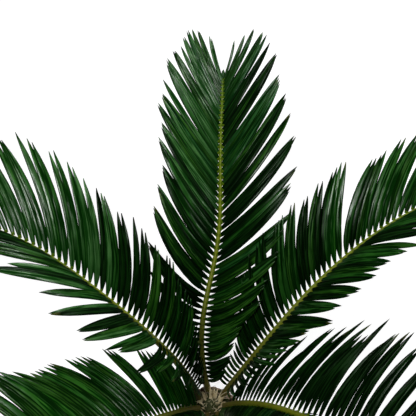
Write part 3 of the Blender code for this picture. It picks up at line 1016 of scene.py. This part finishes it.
# %% Stalk finish
def ramp(board, value, stops):
    """A colour ramp from rows of (place, colour)."""
    node = board.add("ShaderNodeValToRGB", {0: value}).node
    elements = node.color_ramp.elements
    for element, (place, color) in zip(elements, (stops[0], stops[-1])):
        element.position = place
        element.color = color + OPAQUE
    for place, color in stops[1:-1]:
        elements.new(place).color = color + OPAQUE
    return node.outputs[0]


STALK_COLORS = (                 # place along the stalk, colour
    (0.0, (0.090, 0.070, 0.014)), (0.06, (0.100, 0.100, 0.010)), (0.14, (0.160, 0.180, 0.009)),
    (0.35, (0.250, 0.300, 0.009)), (0.70, (0.220, 0.310, 0.010)), (1.0, (0.140, 0.250, 0.012)),
)
SCURF = (0.040, 0.045, 0.010)


def stalk_paint():
    """Green by place along the stalk, under dark scurf."""
    paint, board, shader = shader_board("stalk green")
    place = board.add("ShaderNodeAttribute", out="Fac", attribute_name="place")
    spot = board.add("ShaderNodeTexCoord", out="Object")
    scurf = noise(board, spot, 260.0, 4.0)
    blotch = noise(board, spot, 45.0, 3.0)
    wander = board.times(board.minus(blotch, 0.5), 0.12)
    base = ramp(board, board.plus(place, wander), STALK_COLORS)
    dark = mix_color(board, fit(board, scurf, 0.50, 0.72, 0.0, 0.55), base, SCURF + OPAQUE)
    shader.inputs["Specular IOR Level"].default_value = 0.3
    board.tree.links.new(dark, shader.inputs["Base Color"])
    board.tree.links.new(fit(board, blotch, 0.3, 0.7, 0.36, 0.58), shader.inputs["Roughness"])
    add_bump(board, shader, scurf, strength=0.35, distance=0.0006)
    return paint


# %% The stalks themselves
STALK_ROWS = 72
STALK_SIDES = 14
STALK_FLATNESS = 0.80            # thickness over width
stalk_finish = stalk_paint()
for frond in fronds:
    rows = []
    for k in range(STALK_ROWS + 1):
        place = frond.end * k / STALK_ROWS
        rows.append(dict(root=frond.at(place), face=frond.frame(place)[2], place=place,
                         thick=smooth_knots(STALK_HALF_WIDTH, place)))
    name = "stalk_" + frond.name
    line = points_mesh(name, rows, [(k, k + 1) for k in range(STALK_ROWS)])
    piece = grow(name, line, tubes, {"Sides": STALK_SIDES, "Flatness": STALK_FLATNESS,
                                     "Finish": stalk_finish})
    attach(piece, "root")
    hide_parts("frond_" + frond.name)

# %% [markdown]
# ## The trunk
# The trunk of a sago palm shows no bark.  It is covered by the stubs of leaves that have
# died, packed in spirals and bedded in brown fibre.  A turned core carries them, a little
# slimmer than the CAD trunk, and the stubs reach out to the CAD surface.  Each next stub is
# turned by the golden angle and set as much higher as its own share of the surface asks for,
# which is how the plant packs them too.  The newest stubs, just under the crown, are still
# olive, and both they and the core draw in there to make room for the stalks.  One shared
# finish gives core and stubs the look of dry fibre: noise stretched upright, which mixes a
# dark colour with a light one and lifts the surface.

# %% Trunk finishes
def bark_group():
    """Fibres that run up and down, in lighter and darker patches."""
    s, given = new_group("fibrous bark", "ShaderNodeTree",
                         [("Dark", "color"), ("Light", "color"), ("Grain", "float")],
                         [("Color", "color"), ("Roughness", "float"), ("Height", "float")])
    spot = s.add("ShaderNodeTexCoord", out="Object")
    stretched = s.add("ShaderNodeMapping", {"Vector": spot, "Scale": (1, 1, 0.25)})
    fibre = noise(s, stretched, given["Grain"], 5.0)
    patch = noise(s, spot, 38.0, 3.0)
    share = s.plus(s.times(fit(s, fibre, 0.35, 0.68), 0.65),
                   s.times(fit(s, patch, 0.35, 0.65), 0.35))
    color = mix_color(s, share, given["Dark"], given["Light"])
    return close_group(s, {"Color": color, "Roughness": fit(s, fibre, 0.3, 0.7, 0.95, 0.75),
                           "Height": fibre})


bark_surface = bark_group()


def bark_paint(name, dark, light, grain):
    """A bark finish out of the shared surface and its own two colours."""
    values = {"Dark": dark + OPAQUE, "Light": light + OPAQUE, "Grain": grain}
    links = {"Color": "Base Color", "Roughness": "Roughness"}
    return surface_paint(name, bark_surface, values, links, strength=0.6, distance=0.0012)[0]


STUB_COLORS = (                  # name, dark, light
    ("stub brown", (0.060, 0.034, 0.018), (0.190, 0.120, 0.066)),
    ("stub grey brown", (0.070, 0.048, 0.032), (0.230, 0.170, 0.115)),
    ("stub red brown", (0.060, 0.028, 0.013), (0.170, 0.090, 0.045)),
    ("stub olive", (0.012, 0.016, 0.002), (0.060, 0.074, 0.010)),
)
OLIVE = 3                        # number of the olive one
OLIVE_FROM = 0.266               # height from which stubs and core are olive
STUB_GRAIN = 420.0
stub_paints = {row[0]: bark_paint(*row, STUB_GRAIN) for row in STUB_COLORS}
stub_paints["underside"] = bark_paint("stub underside", (0.030, 0.018, 0.010),
                                      (0.090, 0.055, 0.030), STUB_GRAIN)
stub_paints["foot"] = stub_paints["underside"]
stub_paints["cut end"] = bark_paint("stub cut end", (0.110, 0.070, 0.038),
                                    (0.330, 0.240, 0.150), 700.0)
fibre_bed_paint = bark_paint("fibre bed", (0.020, 0.012, 0.007), (0.085, 0.052, 0.028), 520.0)
print(len(STUB_COLORS), "stub colours")

# %% The core, turned round the leaning axis
CORE_INSET = 0.012
INSET_AT_FOOT = 0.35             # share of the inset at the ground
INSET_RISE = 0.03                # over this height the share would grow by 1
CORE_SHOULDER = ((0.262, 1.0), (0.280, 0.72), (0.300, 0.45))     # share of the radius kept
CORE_SIDES = 48
CORE_ROWS = 40


def build_core():
    """Rings of corners up the leaning trunk, closed at both ends."""
    bm = bmesh.new()
    rings = []
    for i in range(CORE_ROWS + 1):
        height = TRUNK_HEIGHT * i / CORE_ROWS
        middle = lean_at(height)
        inset = CORE_INSET * min(1.0, INSET_AT_FOOT + height / INSET_RISE)
        radius = (knots(TRUNK_PROFILE, height) - inset) * knots(CORE_SHOULDER, height)
        rings.append([bm.verts.new(middle + Vector((cos(a) * radius, sin(a) * radius, 0)))
                      for a in (2 * pi * k / CORE_SIDES for k in range(CORE_SIDES))])
    for lower, upper in zip(rings, rings[1:]):
        for k in range(CORE_SIDES):
            n = (k + 1) % CORE_SIDES
            bm.faces.new((lower[k], lower[n], upper[n], upper[k])).smooth = True
    bm.faces.new(rings[0][::-1])
    bm.faces.new(rings[-1])
    for face in bm.faces:
        face.material_index = int(face.calc_center_median().z > OLIVE_FROM)
    mesh = mesh_from(bm, "trunk_core")
    mesh.materials.append(fibre_bed_paint)
    mesh.materials.append(stub_paints[STUB_COLORS[OLIVE][0]])
    print("trunk_core has", len(mesh.polygons), "faces")
    return stand("trunk_core", mesh)


core = build_core()
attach(core, "root")
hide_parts("trunk")

# %% The armour of stubs, packed by the golden angle
GOLDEN_ANGLE = radians(137.508)
STUB_AREA = 0.000205             # surface that one stub takes up
STUB_HALF_WIDTH = 0.0098
STUB_THICKNESS = 0.0056
STUBS_FROM = 0.006               # heights between which stubs grow
STUBS_TO = 0.288
STUB_RISE = 0.011                # how far a stub's tip stands above its place
STUB_SINK = 0.004                # and its root below it
STUB_DEEP = 0.002                # how far its root lies inside the core
FULL_STUB = 0.056                # trunk radius on which stubs have their full size
LOWEST_ROOT = 0.0062             # so that the first stubs clear the ground
LOWEST_TIP = 0.0085
BOW = UP * 0.001                 # a stub bows upward near its root and downward near its tip


def stub_rows(rng):
    """Every stub as a dictionary of its path and its chances, from the ground up."""
    rows = []
    height = STUBS_FROM
    a = 0.0
    while height < STUBS_TO:
        radius = knots(TRUNK_PROFILE, height) * knots(CORE_SHOULDER, height)
        middle = lean_at(height)
        out = Vector((cos(a), sin(a), 0))
        size = min(1.0, 0.45 + 0.55 * radius / FULL_STUB) * rng.uniform(0.88, 1.08)
        base = middle + out * (radius - CORE_INSET - STUB_DEEP) - UP * STUB_SINK
        tip = (middle + out * (radius * rng.uniform(0.985, 1.02))
               + UP * (STUB_RISE * size * rng.uniform(0.8, 1.2)))
        base.z = max(base.z, LOWEST_ROOT)
        tip.z = max(tip.z, LOWEST_TIP)
        run = tip - base
        face = run.cross(Vector((-sin(a), cos(a), 0))).normalized()
        rows.append(dict(root=base, hold=base + out * (run.length * 0.4) + BOW,
                         reach=tip - run * 0.25 - BOW, tip=tip, face_root=face, face_tip=face,
                         roll=rng.uniform(-0.12, 0.12), number=len(rows), width=size,
                         tone=OLIVE if height > OLIVE_FROM else rng.randrange(OLIVE),
                         chance=rng.random()))
        height += STUB_AREA / (2 * pi * radius)
        a += GOLDEN_ANGLE
    return rows


stub_tree = blade_tree("stubs round the trunk", list(stub_paints))
stub_settings = blade_settings(stub_paints, stub_pattern, STUB_HALF_WIDTH, STUB_THICKNESS,
                               roll=4, seed=9)
rows = stub_rows(random.Random(21))
armour = grow("trunk_armour", points_mesh("trunk_armour", rows), stub_tree, stub_settings)
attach(armour, "root")
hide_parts("trunk")
print(len(rows), "stubs")

# %% [markdown]
# ## The heart
# Between the stalks the plant keeps its next fronds under pointed scales of pale felt, with
# green buds round them, and a little loose wool stands between them.  The scales are blades
# again, stood in rings that lean out more the further out they are.  The wool is a few dozen
# thin tubes that curl by chance.  Scales and wool are longer at the back, where the heart
# shows most.  Their felt is the trunk's fibrous finish again, in straw colours that are
# lightened as painted light, to make up for the shade the fronds cast over the heart.

# %% Heart finishes
# Straw and tan are lighter than the wool's own colour: painted light for the fronds' shade.
WOOL_COLORS = (                  # name, dark, light
    ("wool straw", (0.620, 0.500, 0.260), (0.950, 0.850, 0.600)),
    ("wool tan", (0.480, 0.360, 0.170), (0.850, 0.720, 0.460)),
    ("bud olive", (0.030, 0.042, 0.004), (0.110, 0.140, 0.018)),
)
WOOL_GRAIN = 500.0
wool_paints = {row[0]: bark_paint(*row, WOOL_GRAIN) for row in WOOL_COLORS}
wool_paints["underside"] = bark_paint("wool underside", (0.500, 0.390, 0.190),
                                      (0.880, 0.760, 0.500), WOOL_GRAIN)
wool_paints["foot"] = wool_paints["end"] = wool_paints["underside"]
# The fibres too are lightened as painted light.
fibre_paint = bark_paint("wool fibre", (0.750, 0.620, 0.360), (0.980, 0.900, 0.660), 300.0)
print(len(WOOL_COLORS), "scale colours")

# %% Scales of the heart
SCALE_RINGS = (                  # radius, count, length, lean from upright, width, colours
    (0.004, 4, 0.012, 6, 0.8, (0, 1)), (0.010, 9, 0.018, 20, 0.5, (0, 0, 1)),
    (0.0145, 9, 0.010, 34, 1.0, (2,)),
)
SCALE_HALF_WIDTH = 0.0042
SCALE_THICKNESS = 0.0016
SCALE_SINK = 0.010               # a scale starts this far below the top of the trunk
SCALE_CURL = 0.35                # and leans out by so many radians more at its tip
LONGER_BEHIND = 0.5              # share by which heart and wool are longer at the back


def scale_rows(rng):
    """Every scale as a dictionary of its path and its chances, ring by ring."""
    rows = []
    for ring, (radius, count, length, lean, width, tones) in enumerate(SCALE_RINGS):
        for k in range(count):
            a = 2 * pi * (k + 0.5 * (ring % 2)) / count + rng.uniform(-0.15, 0.15)
            out = Vector((cos(a), sin(a), 0))
            tilt = radians(lean + rng.uniform(-7, 7))
            run = length * rng.uniform(0.8, 1.15) * (1.0 + LONGER_BEHIND * out.y)
            base = CROWN + out * radius - UP * SCALE_SINK
            first = out * sin(tilt) + UP * cos(tilt)
            last = out * sin(tilt + SCALE_CURL) + UP * cos(tilt + SCALE_CURL)
            tip = base + first * (run * 0.5) + last * (run * 0.5)
            face = out * cos(tilt) - UP * sin(tilt)
            rows.append(dict(root=base, hold=base + first * run / 3, reach=tip - last * run / 3,
                             tip=tip, face_root=face, face_tip=face,
                             roll=rng.uniform(-0.2, 0.2), number=len(rows),
                             width=width * rng.uniform(0.8, 1.1), tone=rng.choice(tones),
                             chance=rng.random()))
    return rows


heart_tree = blade_tree("scales of the heart", list(wool_paints))
heart_settings = blade_settings(wool_paints, scale_pattern, SCALE_HALF_WIDTH, SCALE_THICKNESS,
                                roll=6, seed=12)
rows = scale_rows(random.Random(33))
scales = grow("heart_scales", points_mesh("heart_scales", rows), heart_tree, heart_settings)
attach(scales, "root")
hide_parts("crown_heart")

# %% Loose wool
WOOL_COUNT = 40
WOOL_POINTS = 9
WOOL_THICK = 0.00042
WOOL_SIDES = 4
WOOL_RING = 0.015                # greatest radius on which a fibre stands
WOOL_START = 0.004               # height above the trunk's top at which fibres start
WOOL_DOME = 0.012                # beyond this radius they start lower, as the heart does
WOOL_FALL = 0.35                 # on this slope
WOOL_TILT = (0, 50)              # degrees from upright, of which fibres further out take more
WOOL_LENGTH = (0.010, 0.024)
WOOL_CURL = 0.16                 # how much of its bend a fibre takes at each point


def wool_lines(rng):
    """Points and edges of every fibre, which starts on the heart and curls by chance."""
    rows = []
    edges = []
    for _ in range(WOOL_COUNT):
        a = rng.uniform(0, 2 * pi)
        radius = WOOL_RING * rng.random() ** 0.6
        out = Vector((cos(a), sin(a), 0))
        start = WOOL_START - WOOL_FALL * max(0, radius - WOOL_DOME)
        spot = CROWN + out * radius + UP * start
        tilt = radians(rng.uniform(*WOOL_TILT)) * (0.4 + radius / 0.03)
        way = (out * sin(tilt) + UP * cos(tilt)).normalized()
        run = rng.uniform(*WOOL_LENGTH) * (1.0 + LONGER_BEHIND * out.y)
        bend = Vector((rng.uniform(-1, 1), rng.uniform(-1, 1), rng.uniform(-0.3, 0.6)))
        for j in range(WOOL_POINTS):
            share = j / (WOOL_POINTS - 1)
            rows.append(dict(root=spot.copy(), face=Vector((sin(a), -cos(a), 0.3)).normalized(),
                             place=share, thick=WOOL_THICK * (1.1 - 0.8 * share)))
            if j:
                edges.append((len(rows) - 2, len(rows) - 1))
            way = (way + bend * WOOL_CURL).normalized()
            spot = spot + way * (run / (WOOL_POINTS - 1))
    return rows, edges


rows, edges = wool_lines(random.Random(47))
wool = grow("heart_wool", points_mesh("heart_wool", rows, edges), tubes,
            {"Sides": WOOL_SIDES, "Flatness": 0.7, "Finish": fibre_paint})
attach(wool, "root")
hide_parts("crown_heart")

# %% [markdown]
# ## Put the straight patterns away
# A pattern has to be in the scene while its copies are made.  Now every blade is a mesh of
# its own, so the three patterns go, or they would be taken for pieces of the plant.

# %% Take the patterns out
for pattern in (leaflet_pattern, scale_pattern, stub_pattern):
    bpy.data.objects.remove(pattern)

# %% [markdown]
# ## Floor and light
# The palm stands on a plain white floor.  The light comes from a few soft panels: one high
# over the camera's left, one nearly overhead, and lower ones on the right and behind.  Waxed
# leaves show little colour of their own, so most of what is seen is the panels' sheen, and a
# wing that faces none of them stays nearly black, the more so as such wings are dealt a
# near-black green as painted shade.

# %% Floor
FLOOR_HALF = 6.0
FLOOR_GLOW = 0.7


def build_floor():
    """One large face, which glows a little to the camera alone so that it looks white."""
    bm = bmesh.new()
    corners = [bm.verts.new((x * FLOOR_HALF, y * FLOOR_HALF, 0))
               for x, y in ((-1, -1), (1, -1), (1, 1), (-1, 1))]
    bm.faces.new(corners)
    mesh = mesh_from(bm, "floor")
    paint, board, shader = shader_board("studio floor")
    shader.inputs["Base Color"].default_value = (0.60, 0.60, 0.60, 1)
    shader.inputs["Roughness"].default_value = 0.9
    shader.inputs["Emission Color"].default_value = (1, 1, 1, 1)
    seen = board.add("ShaderNodeLightPath", out="Is Camera Ray")
    board.tree.links.new(fit(board, seen, 0, 1, 0.0, FLOOR_GLOW),
                         shader.inputs["Emission Strength"])
    mesh.materials.append(paint)
    return stand("floor", mesh)


floor = build_floor()
print("the floor is", 2 * FLOOR_HALF, "m wide")

# %% Lights and the pale surround
LIGHT_AIM = Vector((0.0, 0.1, 0.45))
LIGHT_AWAY = 2.3
WORLD_LIGHT = 0.015              # what the surround gives the leaves
WORLD_SEEN = 0.92                # and how bright it looks to the camera
LIGHTS = (                       # name, height and heading (back to right) in degrees, size, watts
    ("front panel", 60, -150, 0.6, 20.0),
    ("top panel", 65, 0, 0.7, 11.0),
    ("right panel", 20, 90, 0.7, 14.0),
    ("back panel", 28, 35, 0.7, 12.0),
    ("rear panel", 20, -5, 0.7, 5.0),
)
for name, height, heading, size, watts in LIGHTS:
    up, turn = radians(height), radians(heading)
    way = Vector((cos(up) * sin(turn), cos(up) * cos(turn), sin(up)))
    light = bpy.data.lights.new(name, "AREA")
    light.size = size
    light.energy = watts
    lamp = stand(name, light)
    lamp.location = LIGHT_AIM + way * LIGHT_AWAY
    lamp.rotation_euler = way.to_track_quat("Z", "Y").to_euler()

world = bpy.data.worlds.new("surround")
world.use_nodes = True
bpy.context.scene.world = world
sky = Board(world.node_tree)
seen = sky.add("ShaderNodeLightPath", out="Is Camera Ray")
back = world.node_tree.nodes["Background"]
back.inputs["Color"].default_value = (1, 1, 1, 1)
strength = fit(sky, seen, 0, 1, WORLD_LIGHT, WORLD_SEEN)
world.node_tree.links.new(strength, back.inputs["Strength"])
bpy.context.scene.view_settings.view_transform = "Standard"
print(len(LIGHTS), "panels")
